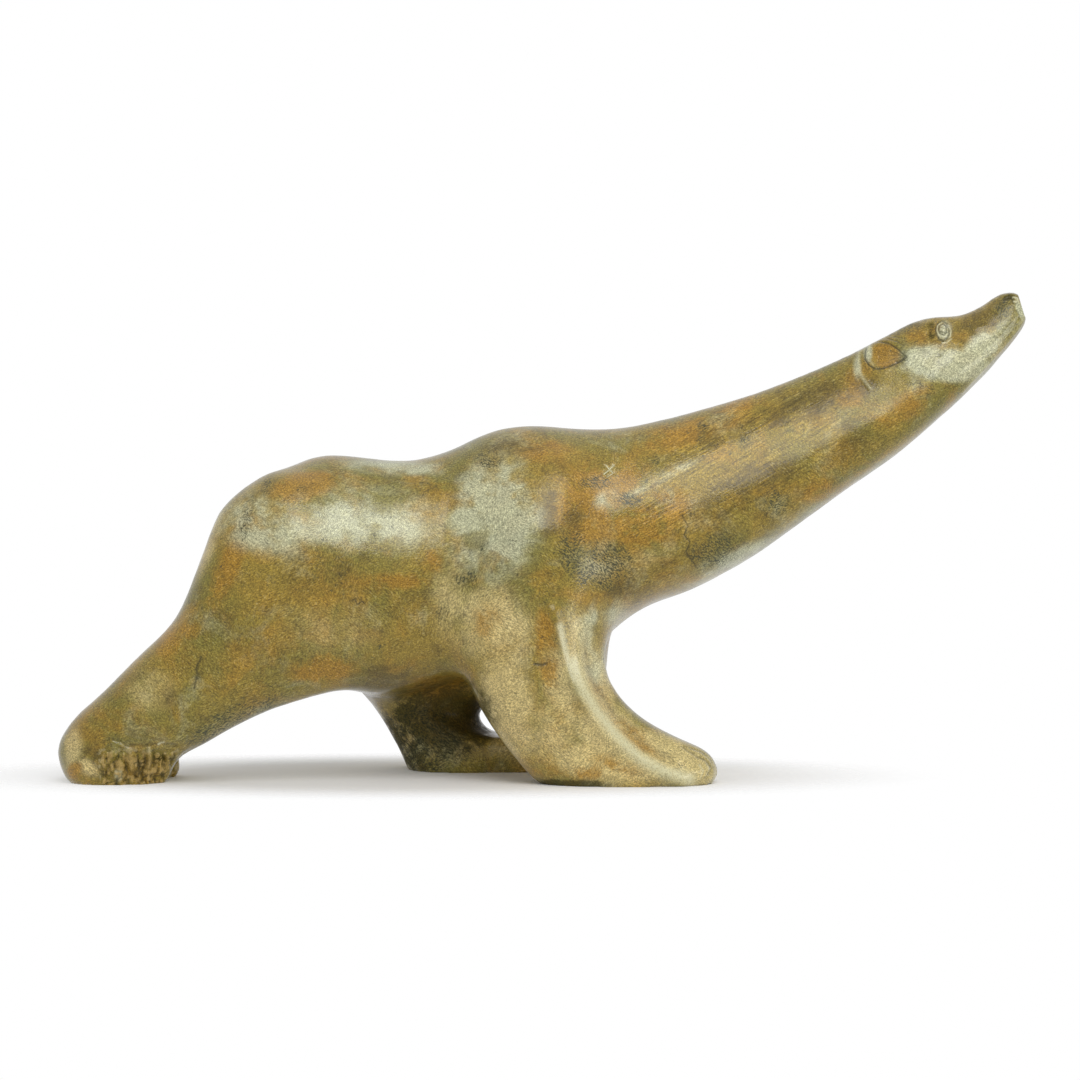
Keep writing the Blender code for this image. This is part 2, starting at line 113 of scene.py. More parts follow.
# Chased lines: points in the photograph's pixels, half width and height in pixels, then how dirty the line is
# or, below 0, how far it is worn to bright bronze; along the shin's crest and the fold behind the ear that
# brightness is a painted highlight.
CHASED_LINES = {
    "ear_lower_edge": (((867, 345), (865, 352), (865, 359), (869, 365), (875, 368.5), (883, 368),
                        (892, 365), (900, 361), (906, 357)), 0.9, -1.0, 0.95),
    "ear_upper_edge": (((867, 345), (873, 342), (880, 341.5), (888, 343), (896, 348), (902, 353),
                        (906, 357)), 0.9, -0.9, 0.8),
    "ear_tip_cut": (((897, 362), (902, 360), (905, 356)), 1.6, -0.7, 0.9),
    "ear_left_rim": (((869, 347), (868, 354), (869, 361), (873, 365)), 1.5, 0.6, -0.25),
    "ear_fan_1": (((890, 356), (896, 355), (902, 356)), 0.5, -0.35, 0.5),
    "ear_fan_2": (((891, 351), (896, 353), (901, 355)), 0.5, -0.35, 0.5),
    "ear_fan_3": (((890, 361), (896, 359), (902, 357)), 0.5, -0.35, 0.45),
    "ear_scrape": (((876, 349), (880, 356), (878, 362)), 0.8, -0.4, 0.25),
    "above_ear_1": (((876, 339.5), (886, 338), (897, 341), (904, 346)), 0.7, -0.5, 0.5),
    "above_ear_2": (((880, 336), (890, 335.5), (901, 338)), 0.7, -0.3, 0.35),
    # Its pale is a painted highlight along the fold's ridge.
    "fold_behind_ear": (((866, 344), (860, 352), (858, 362), (859, 371), (863, 379), (870, 388)),
                        1.8, 1.0, -0.5),
    "fold_hollow": (((864, 346), (862, 354), (862, 362), (865, 368)), 1.8, -0.6, 0.2),
    "eye_outline_left": (((943, 321), (938, 323), (935.5, 328), (936, 334), (939, 339), (943, 341)),
                         0.8, -0.9, 0.85),
    "eye_outline_right": (((943, 321), (947, 324), (949, 329), (949, 335), (946, 339.5), (943, 341)),
                          0.8, -0.8, 0.7),
    "eye_ring": (((943, 324), (939.5, 326), (938.5, 330), (940, 334), (944, 335.5), (946.5, 332),
                  (946, 327), (943, 324)), 0.65, -0.8, 0.8),
    "eye_rim": (((942, 322.5), (937.5, 326), (937, 331), (939, 336), (944, 338), (948, 334)),
                0.7, 0.8, -0.9),
    "eye_swirl": (((942, 327), (944.5, 327.5), (945, 330), (943, 331.5), (941, 330)), 0.7, 0.6, -0.9),
    "pupil": (((941, 332.5), (943.5, 333.6), (946, 333)), 0.6, -0.5, 0.9),
    "eye_arc_1": (((948, 326), (951, 331), (950, 337)), 0.7, 0.6, -0.8),
    "eye_arc_2": (((942, 343), (947, 342.5), (951.5, 339)), 0.7, 0.5, -0.7),
    "brow_fold": (((930, 342), (928, 334), (930, 326), (936, 320)), 1.8, -0.7, 0.25),
    "brow_front": (((951, 322), (953.5, 329), (952, 338)), 1.6, -0.6, 0.15),
    "cheek_dot": (((939, 355.5), (940.5, 356.5)), 1.1, -0.8, 0.7),
    "snout_bump": (((977, 328), (981, 327), (985, 326)), 2.4, 0.6, 0.0),
    "nostril": (((1004, 299.5), (1008, 297.5), (1012, 297.5)), 1.8, -1.5, 1.0),
    "nostril_chip_1": (((1013, 297), (1017, 298.5), (1018, 301)), 0.8, 0.6, -1.0),
    "nostril_chip_2": (((1014, 301.5), (1018, 302)), 0.8, 0.4, -0.9),
    "jaw_ridge": (((1024, 318), (1017, 330), (1005, 345), (990, 362), (975, 378), (962, 392)),
                  1.6, 1.0, -0.35),
    "mouth": (((1019, 317), (1011, 328), (998, 343), (986, 354)), 1.6, -0.5, 0.1),
    "toe_gouge_1": (((107, 785), (104, 777), (109, 768), (106, 759)), 1.6, -2.2, 0.45),
    "toe_gouge_2": (((116, 783), (119, 774), (114, 766), (117, 757)), 1.3, -1.8, 0.4),
    "toe_gouge_3": (((126, 785), (123, 776), (127, 768), (125, 758)), 1.9, -2.6, 0.5),
    "toe_gouge_4": (((138, 783), (134, 775), (139, 768), (136, 759)), 1.5, -2.1, 0.45),
    "toe_gouge_5": (((145, 783), (141, 774), (146, 765), (144, 754)), 2.2, -3.0, 0.6),
    "toe_gouge_6": (((155, 780), (158, 771), (154, 763)), 1.4, -1.9, 0.45),
    "toe_gouge_7": (((164, 779), (161, 770), (165, 762), (163, 755)), 1.8, -2.3, 0.5),
    "toe_gouge_8": (((172, 775), (174, 767), (171, 760)), 1.4, -1.8, 0.45),
    "toe_edge_3": (((130, 752), (129, 760), (131, 768)), 2.2, 2.4, -0.7),
    "toe_edge_5": (((149, 751), (150, 760), (148, 767)), 2.2, 2.6, -0.8),
    "toe_edge_7": (((167, 755), (168, 762), (166, 768)), 1.8, 1.8, -0.6),
    "toe_facet": (((118, 771), (120, 780)), 2.0, 0.8, -0.4),
    "ankle_ledge": (((104, 742), (110, 738.5), (119, 741), (127, 745.5), (148, 745.5), (163, 743.5),
                     (176, 746)), 1.7, -1.1, 0.35),
    "ankle_lip": (((104, 746), (112, 742.5), (119, 745), (127, 749.5), (148, 749), (163, 747), (176, 750)),
                  1.6, 0.9, 0.0),
    "ankle_glint": (((158.5, 744.5), (161, 743), (164, 742.5)), 0.9, 0.5, -0.9),
    "ankle_swirl": (((107, 747), (113, 743), (121, 742)), 1.0, -0.5, 0.3),
    "heel_facet_edge": (((77, 760), (84, 758), (92, 762), (99, 770), (99, 777)), 1.2, -0.6, 0.35),
    "heel_facet_low": (((77, 762), (82, 771), (90, 776.5), (98, 777)), 1.2, -0.6, 0.35),
    "shin_crest": (((553, 612), (556, 628), (563, 660), (572, 685), (588, 712), (607, 737),
                    (636, 763), (660, 775), (684, 780)), 6.0, 3.2, 0.0),
    "shin_valley": (((590, 640), (592, 670), (603, 696), (622, 722), (648, 747), (676, 762)), 8.0, -2.2, 0.0),
    "shin_valley_tone": (((586, 640), (590, 668), (600, 692), (620, 718), (646, 743), (674, 757)),
                         3.0, 0.0, 0.3),
    # Painted highlight along the right face of the shin's crest, in the pale of worn bronze.
    "shin_crest_painted_highlight_top": (((560, 626), (565, 650), (573, 675), (584, 696)), 3.5, 0.0, -0.85),
    "shin_crest_painted_highlight": (((573, 662), (583, 690), (598, 713), (616, 735), (640, 758), (664, 771),
                          (690, 779)), 6.5, 0.0, -0.92),
    "shin_crest_edge": (((556, 626), (563, 660), (572, 685), (588, 712), (607, 737), (636, 763)),
                        1.3, 0.5, -0.2),
    "tip_notch": (((683, 747), (697, 756), (706, 760), (712, 768), (706, 778)), 1.2, -1.1, 0.5),
    "tip_arc_1": (((690, 748), (702, 752), (711, 760), (714, 768)), 1.0, -0.6, 0.35),
    "tip_arc_2": (((699, 765), (703, 771), (700, 778)), 0.9, 0.6, -0.5),
    "tip_arc_3": (((706, 764), (709, 770), (706, 776)), 0.9, 0.6, -0.4),
    "shin_nick": (((535, 664.5), (541, 662.5), (548, 662.5), (556, 660.5)), 1.2, -0.7, 0.3),
    "shin_nick_dark": (((535, 664), (541, 665), (546, 664)), 1.6, -1.0, 1.0),
    "gap_rim": (((424, 703), (435, 713), (443, 728), (453, 736), (468, 739), (478, 736), (486, 728)),
                1.8, -0.8, 1.0),
    "flank_edge": (((360, 697), (395, 697), (430, 698)), 1.5, -0.5, 0.5),
    "crack_thigh": (((194, 689), (197, 675), (196, 668), (201, 657)), 1.1, -0.7, 0.9),
    "crack_neck": (((682, 515), (688, 526), (684, 535), (690, 542), (686, 552), (693, 562), (697, 568)),
                   0.8, -0.5, 0.8),
    "crack_flank": (((350, 602), (355, 599), (357, 605), (362, 601), (366, 605)), 0.8, -0.6, 0.9),
    "neck_nick_1": (((604, 474), (609, 470), (614, 465)), 0.7, -0.6, -1.0),
    "neck_nick_2": (((606, 465), (610, 470), (613, 473)), 0.7, -0.5, -1.0),
    "neck_nick_3": (((607, 477), (612, 474)), 0.6, -0.5, -0.9),
}

# How the names of those lines and lumps begin that only the right side has.
RIGHT_ALONE = ("shin", "tip", "gap", "flank", "crack", "neck_nick", "toe_edge", "toe_facet", "ankle_glint")

# Modelled lumps and hollows: centre, half width, half height, tilt in degrees, height, all in pixels.
LUMPS = {
    "ear_pad": ((885, 356), 19, 13, 8, 1.9),
    "eyeball": ((943, 331), 7, 10, 0, 1.4),
    "cheek": ((945, 360), 24, 13, -25, 1.2),
    "brow": ((925, 326), 8, 11, 25, 1.1),
    "eye_corner_hollow": ((957, 330), 6, 11, 0, -1.0),
    "snout_side_hollow": ((968, 345), 12, 8, -40, -0.7),
    "heel_facet": ((89, 768), 15, 8, 30, -0.9),
    "heel_hollow": ((92, 753), 12, 8, 8, -1.4),
    "shin_groove": ((546, 680), 12, 70, -10, -1.4),
    "shoulder_crease_top": ((452, 500), 14, 50, 12, -1.0),
    "shoulder_crease_low": ((443, 610), 10, 55, -4, -1.2),
    "neck_ridge": ((668, 478), 100, 28, -27, 1.7),
    "belly_ledge": ((400, 686), 45, 6, -8, 0.8),
    "hollow_behind_hump": ((452, 470), 30, 12, 0, -0.6),
}

# The flat cut across the muzzle: both ends of its line in the photograph.
MUZZLE_CUT = ((1018.5, 296), (1025.5, 319))

# The throat, where the chest runs into the foreleg in one soft curve: centre, half width, half height, tilt.
THROAT = ((612, 638), 34, 40, 0)

# Patches of the patina on the right side: layer, centre, half width, half height, tilt, strength.
# Besides patina, verdigris_and_highlight and cream_and_highlight paint highlights and reflections,
# umber_and_shade paints shade on the neck and belly, and grime_and_shade paints shade in hollows and
# under the body.
PATINA_RIGHT = (
    ("rust", (308, 487), 42, 20, -12, 1.0),
    ("rust", (228, 566), 15, 56, 20, 0.8),
    ("rust", (434, 564), 13, 15, -25, 1.1),
    ("rust", (395, 582), 62, 9, 2, 0.75),
    ("rust", (325, 668), 42, 20, -5, 0.8),
    ("rust", (180, 640), 32, 36, 20, 0.6),
    ("rust", (605, 500), 60, 48, -20, 1.0),
    ("rust", (650, 520), 55, 34, -20, 0.85),
    ("rust", (588, 528), 26, 22, -15, 1.1),
    ("rust", (545, 452), 36, 14, 0, 0.7),
    ("umber_and_shade", (512, 446), 40, 12, -4, 0.75),
    ("umber_and_shade", (572, 524), 24, 26, 0, 0.65),
    ("rust", (700, 425), 95, 20, -20, 0.75),
    ("rust", (820, 490), 22, 12, -30, 0.7),
    ("rust", (855, 388), 26, 22, -30, 0.8),
    ("rust", (905, 407), 50, 16, -28, 0.6),
    ("cream_and_highlight", (905, 400), 44, 14, -28, 0.35),
    ("rust", (886, 356), 15, 12, 8, 1.5),
    ("rust", (916, 337), 13, 14, 0, 0.55),
    ("rust", (547, 652), 11, 52, -6, 1.1),
    ("rust", (562, 722), 22, 30, -30, 0.35),
    ("rust", (540, 762), 34, 16, 0, 0.35),
    ("rust", (636, 738), 46, 9, 42, 0.75),
    ("rust", (572, 773), 62, 9, 3, 0.7),
    ("rust", (600, 690), 10, 40, -22, 0.5),
    ("rust", (487, 622), 18, 22, 0, 0.6),
    ("rust", (614, 765), 34, 11, 12, 0.65),
    ("rust", (435, 686), 42, 13, -5, 0.9),
    ("rust", (76, 771), 9, 10, 20, 1.1),
    ("rust", (140, 748), 34, 8, 0, 0.4),
    ("umber_and_shade", (340, 580), 80, 18, 5, 0.3),
    ("umber_and_shade", (290, 640), 60, 34, -5, 0.3),
    ("rust", (345, 590), 90, 40, 0, 0.35),
    ("rust", (300, 640), 80, 30, 0, 0.3),
    # Painted shade under the belly, over its dark brown.
    ("umber_and_shade", (385, 684), 42, 20, -5, 1.0),
    ("umber_and_shade", (622, 590), 22, 12, -10, 0.8),
    ("umber_and_shade", (92, 754), 13, 8, 8, 1.0),
    ("umber_and_shade", (140, 770), 46, 22, 0, 0.5),
    ("rust", (135, 772), 48, 22, 0, 0.5),
    # Painted shade on the neck's top, over its dark brown.
    ("umber_and_shade", (735, 432), 60, 14, -20, 0.6),
    ("umber_and_shade", (980, 322), 34, 14, -35, 0.9),
    ("rust", (965, 336), 20, 12, -30, 0.35),
    # The next four umber_and_shade patches paint shade on the neck's upper side and nape, over their dark
    # brown.
    ("umber_and_shade", (745, 488), 66, 22, -24, 0.8),
    ("umber_and_shade", (815, 400), 66, 16, -24, 0.9),
    ("umber_and_shade", (850, 440), 40, 22, -24, 0.5),
    ("umber_and_shade", (860, 388), 28, 14, -24, 0.8),
    ("verdigris_and_highlight", (600, 564), 26, 20, -5, 0.45),
    ("slate", (602, 566), 34, 26, -5, 1.35),
    ("slate", (573, 552), 18, 26, 0, 1.0),
    ("slate", (714, 550), 32, 22, -20, 0.8),
    ("slate", (775, 500), 20, 20, -35, 0.7),
    ("umber_and_shade", (549, 510), 12, 34, 0, 0.9),
    ("slate", (628, 500), 15, 7, 10, 1.2),
    ("slate", (596, 482), 20, 8, 0, 0.9),
    ("slate", (488, 461), 15, 8, 10, 1.1),
    ("slate", (653, 463), 9, 5, -40, 1.0),
    ("slate", (702, 430), 7, 14, 10, 0.9),
    ("slate", (745, 443), 7, 9, 0, 0.8),
    ("slate", (466, 578), 14, 8, -20, 0.9),
    ("slate", (484, 547), 9, 4, -45, 0.8),
    ("slate", (442, 612), 8, 12, 0, 0.8),
    ("slate", (245, 522), 7, 32, 15, 0.8),
    ("slate", (268, 486), 7, 12, 20, 0.8),
    ("slate", (302, 489), 6, 5, 0, 1.0),
    ("slate", (910, 326), 18, 7, -15, 0.7),
    ("slate", (1004, 308), 14, 9, -40, 0.9),
    ("umber_and_shade", (1005, 316), 18, 10, -45, 0.6),
    ("slate", (235, 725), 60, 20, -25, 1.3),
    ("slate", (415, 740), 60, 44, 0, 1.1),
    # Here verdigris_and_highlight paints the highlights of the rump, torso, back and shoulder over their pale
    # bloom.
    ("verdigris_and_highlight", (270, 522), 56, 34, 4, 1.0),
    ("cream_and_highlight", (205, 545), 12, 46, 22, 0.8),
    ("verdigris_and_highlight", (365, 520), 80, 34, 2, 0.95),
    ("verdigris_and_highlight", (400, 467), 60, 9, 2, 0.9),
    ("verdigris_and_highlight", (494, 518), 48, 62, 6, 1.45),
    ("cream_and_highlight", (450, 600), 24, 44, 0, 0.7),
    ("cream_and_highlight", (492, 625), 44, 46, 0, 1.0),
    ("cream_and_highlight", (508, 700), 28, 70, -10, 1.3),
    ("cream_and_highlight", (552, 735), 32, 42, -20, 0.8),
    ("cream_and_highlight", (560, 690), 18, 54, -14, 1.0),
    # Here cream_and_highlight paints the highlight band beside the shin's crest and on the forefoot, over
    # rubbed pale gold.
    ("cream_and_highlight", (592, 680), 18, 74, -16, 1.4),
    ("cream_and_highlight", (612, 735), 44, 28, 40, 1.5),
    ("cream_and_highlight", (610, 764), 70, 20, 8, 1.5),
    ("cream_and_highlight", (672, 758), 52, 22, 22, 1.5),
    ("cream_and_highlight", (150, 690), 30, 26, 10, 0.5),
    ("cream_and_highlight", (72, 748), 13, 26, 0, 0.8),
    # The heel's flat facet is painted bright as a highlight.
    ("cream_and_highlight", (88, 768), 14, 9, 30, 1.4),
    # Here verdigris_and_highlight paints the highlight streaks on the neck and the reflection under it, over
    # pale bloom.
    ("verdigris_and_highlight", (606, 500), 16, 10, -20, 0.7),
    ("verdigris_and_highlight", (655, 482), 54, 6, -27, 0.6),
    ("verdigris_and_highlight", (735, 562), 70, 14, -22, 0.9),
    ("verdigris_and_highlight", (600, 615), 34, 18, -10, 0.7),
    ("verdigris_and_highlight", (240, 725), 60, 16, -25, 0.5),
    # Here verdigris_and_highlight paints the cheek's highlight over pale bloom.
    ("verdigris_and_highlight", (940, 363), 46, 17, 8, 2.0),
    ("verdigris_and_highlight", (980, 354), 30, 16, -45, 1.8),
    ("verdigris_and_highlight", (1004, 328), 20, 9, -52, 0.8),
    ("verdigris_and_highlight", (944, 331), 8, 11, 0, 1.0),
    ("verdigris_and_highlight", (868, 352), 5, 11, 0, 0.9),
    ("verdigris_and_highlight", (857, 368), 5, 14, 0, 0.6),
    ("verdigris_and_highlight", (1020, 310), 4, 12, -20, 0.9),
    ("verdigris_and_highlight", (119, 775), 5, 8, 0, 0.9),
    ("cream_and_highlight", (330, 630), 60, 30, 0, 0.4),
    ("cream_and_highlight", (640, 560), 40, 16, -20, 0.4),
    ("verdigris_and_highlight", (592, 655), 16, 50, -10, 0.7),
    # The grime_and_shade patches are painted shade in the eye's socket, round the ear's tip, in the gap
    # between the legs and under the belly, thigh and forefoot; they also darken the nostril and the toes.
    ("grime_and_shade", (931, 331), 6, 12, 0, 0.7),
    ("grime_and_shade", (905, 357), 4, 7, 0, 0.7),
    ("grime_and_shade", (1009, 298), 7, 4, -10, 0.9),
    ("grime_and_shade", (158, 757), 10, 10, 0, 0.6),
    ("grime_and_shade", (445, 718), 52, 40, 0, 1.6),
    ("grime_and_shade", (478, 736), 16, 9, 0, 1.5),
    ("grime_and_shade", (400, 745), 50, 34, 20, 0.7),
    ("grime_and_shade", (170, 700), 14, 22, 0, 0.4),
    ("grime_and_shade", (562, 784), 56, 5, 0, 1.2),
)

# Patches on the sides that the photograph doesn't show, in the same layers, plainer.
PATINA_LEFT = (
    ("rust", (300, 500), 50, 26, -10, 0.9),
    ("rust", (610, 520), 80, 46, -15, 0.9),
    ("rust", (760, 440), 80, 24, -25, 0.7),
    ("rust", (560, 680), 22, 50, 5, 0.8),
    ("rust", (886, 356), 15, 12, 8, 1.0),
    ("umber_and_shade", (350, 620), 90, 40, 0, 0.8),
    ("slate", (640, 560), 30, 22, -10, 0.9),
    ("slate", (450, 500), 16, 26, 0, 0.7),
    ("verdigris_and_highlight", (500, 520), 50, 46, 0, 0.8),
    ("verdigris_and_highlight", (350, 520), 70, 26, 0, 0.6),
    ("verdigris_and_highlight", (940, 362), 40, 14, 12, 0.9),
    ("cream_and_highlight", (600, 700), 30, 60, -20, 0.9),
    ("cream_and_highlight", (150, 690), 40, 40, 10, 0.7),
)
LAYERS = ("rust", "umber_and_shade", "slate", "verdigris_and_highlight", "cream_and_highlight", "grime_and_shade")

# Where the brush went along the neck: centre, half width, half height, tilt.
NECK_BRUSHING = ((730, 465), 170, 70, -28)

# Passes that refine the skin: zones on the right side and on the left side, then the widest half
# width of the chased lines that are refined too, how far round them, in pixels, and whether the
# left side gets those that it shows.
REFINEMENTS = (
    ((HEAD_ZONE, HIND_FOOT_ZONE), (HEAD_ZONE, HIND_FOOT_ZONE), 10.0, 4.0, True),
    ((EAR_ZONE, EYE_ZONE, MUZZLE_ZONE, CHISELLED_ZONE), (EAR_ZONE, EYE_ZONE), 2.6, 2.0, False),
    ((), (), 1.0, 1.4, False),
)

FLOOR_CORNERS = 128   # of the round floor

# The soft lights: place, aim, width and height, in metres.
KEY_LIGHT = ((0.15, -1.0, 1.25), (0.0, 0.0, 0.1), 0.85, 1.1)
SIDE_LIGHT = ((1.3, -0.75, 0.24), (0.05, 0.0, 0.08), 0.9, 0.42)

# The ellipse over which the white paper fades: its half sizes as shares of the floor's radius, its
# middle in metres, and where between its middle and its edge the fading starts and ends.
PAPER_ELLIPSE = (0.42, 0.2, 1)
PAPER_MIDDLE = (-0.05, 0, 0)
PAPER_FADE = (0.5, 1.05)

# Directions between which the white room gets brighter, as parts of a unit vector.
FRONT_TO_BACK = (-0.3, 0.5)
LEVEL_TO_TABLE = (0.1, -0.5)

# Places of a Mix node's factor and of the two values that it mixes among its sockets.
MIX_NUMBERS = (0, 2, 3)
MIX_COLOURS = (0, 6, 7)
MIXED_NUMBER = 0
MIXED_COLOUR = 2

# How the nodes of a material are laid out in the editor.
NODE_SPACING = (260, 220)
NODES_IN_COLUMN = 8

SHIFT_SHARES = (1.0, 0.7, 1.3)   # shares of a pattern's shift along x, y and z
BUMP_HEIGHT = 0.0003             # metres


def from_screen(red, green, blue):
    """A linear colour from the 0 to 255 values that a screen shows."""
    def linear(value):
        share = value / 255
        if share <= 0.04045:
            return share / 12.92
        return ((share + 0.055) / 1.055) ** 2.4
    return (linear(red), linear(green), linear(blue))


def colour_property(name, description, default):
    return bpy.props.FloatVectorProperty(
        name=name, description=description, default=default, subtype="COLOR", size=3, min=0.0, max=1.0)


def length_property(name, description, default, **limits):
    return bpy.props.FloatProperty(
        name=name, description=description, default=default, unit="LENGTH", precision=5, **limits)


class BearShape(bpy.types.PropertyGroup):
    """Sizes of the cast and chased skin."""
    skin: length_property("Skin grain", "Mesh size of the cast skin", 0.002, min=0.002, max=0.004)
    body_passes: bpy.props.IntProperty(
        name="Body smoothing", description="Smoothing passes over the body", default=26, min=0, max=120)
    relief: bpy.props.FloatProperty(
        name="Relief", description="Height of the chased lines and lumps, where 1 is as on the real bear",
        default=1.0, min=0.0, max=2.0, subtype="FACTOR")
    unevenness: length_property(
        "Unevenness", "Height of the soft unevenness that the files left", 0.00012, min=0.0, max=0.001)
    chisel: length_property(
        "Chisel marks", "Depth of the rough cuts at the toes of the right hind foot", 0.0016, min=0.0,
        max=0.002)


class BearPatina(bpy.types.PropertyGroup):
    """Colours and wear of the patina, and the highlights and shade painted into it."""
    ochre: colour_property("Ochre", "Waxed ground of the patina", from_screen(158, 134, 52))
    olive: colour_property("Olive", "Greener part of the ground", from_screen(134, 124, 52))
    honey: colour_property("Honey", "Warm clouds in the ground", from_screen(174, 132, 42))
    rust: colour_property("Rust", "Orange patches", from_screen(174, 130, 40))
    # Dark brown, also painted as shade on the neck and under the belly.
    umber_and_shade: colour_property("Umber", "Dark brown patches", from_screen(102, 85, 31))
    slate: colour_property("Slate", "Bare dark patches", from_screen(68, 74, 50))
    # Pale grey-green bloom, also painted as the highlights and reflections of the body.
    verdigris_and_highlight: colour_property("Verdigris", "Pale grey-green bloom", from_screen(205, 207, 172))
    # Rubbed pale gold, also painted as highlights on the foreleg and the heel.
    cream_and_highlight: colour_property("Cream", "Rubbed pale gold of the legs", from_screen(226, 205, 142))
    # Dark green of the grooves, also the colour of the painted shade.
    dirt_and_shade: colour_property("Dirt", "Dark green dirt in grooves", from_screen(48, 48, 26))
    cut: colour_property("Cut bronze", "Tan of the rough cuts at the toes", from_screen(196, 166, 98))
    # Pale of worn bronze and of bright specks, also painted as highlight along the shin's crest and the fold
    # behind the ear.
    scratch_and_highlight: colour_property("Bare metal", "Bright specks and nicks", from_screen(230, 226, 184))
    clouds: length_property("Clouds", "Size of the clouds that break up the patches", 0.012, min=0.002)
    mottle: length_property("Mottle", "Size of the mottling", 0.0042, min=0.001)
    grain: length_property("Grain", "Size of the finest grain and brush marks", 0.0005, min=0.0002)
    crackle: length_property("Crackle", "Size of the cells in the net of fine cracks", 0.006, min=0.002)


class BearStudio(bpy.types.PropertyGroup):
    """Sizes and strengths of the studio."""
    floor: length_property("Floor", "Radius of the round floor", 0.5, min=0.3)
    floor_colour: colour_property("Floor colour", "Colour of the floor", (0.97, 0.97, 0.97))
    glow: bpy.props.FloatProperty(
        name="Glow", description="Strength of the light that shines through the floor", default=0.03,
        min=0.0)
    key: bpy.props.FloatProperty(
        name="Key light", description="Power of the big soft light above the camera", default=9.0,
        min=0.0, unit="POWER")
    side: bpy.props.FloatProperty(
        name="Side light", description="Power of the soft light in front of the muzzle", default=2.9,
        min=0.0, unit="POWER")
    room_front: bpy.props.FloatProperty(
        name="Front fill", description="Strength of the room's light on the camera's side", default=0.46,
        min=0.0)
    room_table: bpy.props.FloatProperty(
        name="Table fill", description="Strength that the white table adds from below", default=0.12,
        min=0.0)
    room_back: bpy.props.FloatProperty(
        name="Back fill", description="Strength of the white room behind the bear", default=0.66, min=0.0)


def read_points(mesh):
    """The vertices' places and normals as two arrays."""
    points = np.empty(len(mesh.vertices) * 3, np.float32)
    mesh.vertices.foreach_get("co", points)
    normals = np.empty(len(mesh.vertices) * 3, np.float32)
    mesh.vertex_normals.foreach_get("vector", normals)
    return points.reshape(-1, 3).astype(float), normals.reshape(-1, 3).astype(float)


def write_points(mesh, points):
    mesh.vertices.foreach_set("co", points.astype(np.float32).ravel())
    mesh.update()


def in_photograph(points):
    """Where points of the bear lie in the photograph, in pixels from its top left."""
    offset = points - np.array(CAMERA_AT)
    ahead = np.array((0.0, math.cos(CAMERA_PITCH), -math.sin(CAMERA_PITCH)))
    upward = np.array((0.0, math.sin(CAMERA_PITCH), math.cos(CAMERA_PITCH)))
    depth = offset @ ahead
    across = FRAME_PIXELS / 2 + FOCAL_PIXELS * offset[:, 0] / depth
    down = FRAME_PIXELS / 2 - FOCAL_PIXELS * (offset @ upward) / depth
    return np.stack((across, down), 1)


def smooth_step(low, high, values):
    share = np.clip((values - low) / (high - low), 0.0, 1.0)
    return share * share * (3 - 2 * share)


class SideView:
    """The vertices as the photograph shows the right side, and the left side in its mirror."""

    def __init__(self, points, normals):
        self.facing = -normals[:, 1]
        right = self.facing > 0
        seen = points.copy()
        seen[:, 1] = np.where(right, points[:, 1], -points[:, 1])
        self.pixels = in_photograph(seen)
        self.strength = smooth_step(*RELIEF_FACING, np.abs(self.facing))
        self.right = right

    def line_distance(self, line):
        """Distance in pixels from each vertex to a line of points."""
        least = np.full(len(self.pixels), np.inf)
        corners = np.array(line, float)
        for start, end in zip(corners[:-1], corners[1:]):
            along = end - start
            share = np.clip((self.pixels - start) @ along / (along @ along), 0.0, 1.0)
            nearest = start + share[:, None] * along
            least = np.minimum(least, np.linalg.norm(self.pixels - nearest, axis=1))
        return least

    def patch(self, centre, half_width, half_height, tilt):
        """1 in the middle of an ellipse and 0 from its edge on."""
        turn = math.radians(tilt)
        offset = self.pixels - np.array(centre, float)
        along = (offset[:, 0] * math.cos(turn) + offset[:, 1] * math.sin(turn)) / half_width
        across = (-offset[:, 0] * math.sin(turn) + offset[:, 1] * math.cos(turn)) / half_height
        return np.clip(1 - along ** 2 - across ** 2, 0.0, 1.0) ** 2

    def inset(self, zone):
        """How many pixels each vertex lies inside a zone's nearest edge."""
        left, top, right, bottom = zone
        across, down = self.pixels[:, 0], self.pixels[:, 1]
        return np.minimum.reduce((across - left, right - across, down - top, bottom - down))


def value_noise(points, size, seed):
    """Soft random values between -1 and 1 that change over the given size, the same on every run.

    Each corner of a grid gets a value from its place by a hash, whose numbers have no other meaning.
    """
    places = points / size + seed * 17.31
    cell = np.floor(places).astype(np.int64)
    part = places - cell
    part = part * part * (3 - 2 * part)
    total = np.zeros(len(points))
    for corner in range(8):
        step = np.array((corner & 1, corner >> 1 & 1, corner >> 2 & 1))
        key = (cell + step) @ np.array((73856093, 19349663, 83492791)) + seed * 2654435
        key = (key ^ (key >> 13)) * 1274126177 & 0x7FFFFFFF
        random = (key ^ (key >> 16)) % 20011 / 10005.0 - 1
        weight = np.prod(np.where(step, part, 1 - part), axis=1)
        total += random * weight
    return total


def only(piece):
    """Deselects everything and makes the piece the one that operators act on."""
    bpy.ops.object.select_all(action="DESELECT")
    piece.select_set(True)
    bpy.context.view_layer.objects.active = piece


def apply_modifier(piece, kind, **settings):
    only(piece)
    modifier = piece.modifiers.new(kind.title(), kind)
    for name, value in settings.items():
        setattr(modifier, name, value)
    bpy.ops.object.modifier_apply(modifier=modifier.name)


def set_group(piece, name, weights):
    group = piece.vertex_groups.get(name) or piece.vertex_groups.new(name=name)
    levels = np.round(np.clip(weights, 0.0, 1.0) * WEIGHT_LEVELS).astype(int)
    for level in np.unique(levels):
        group.add(np.nonzero(levels == level)[0].tolist(), level / WEIGHT_LEVELS, "REPLACE")


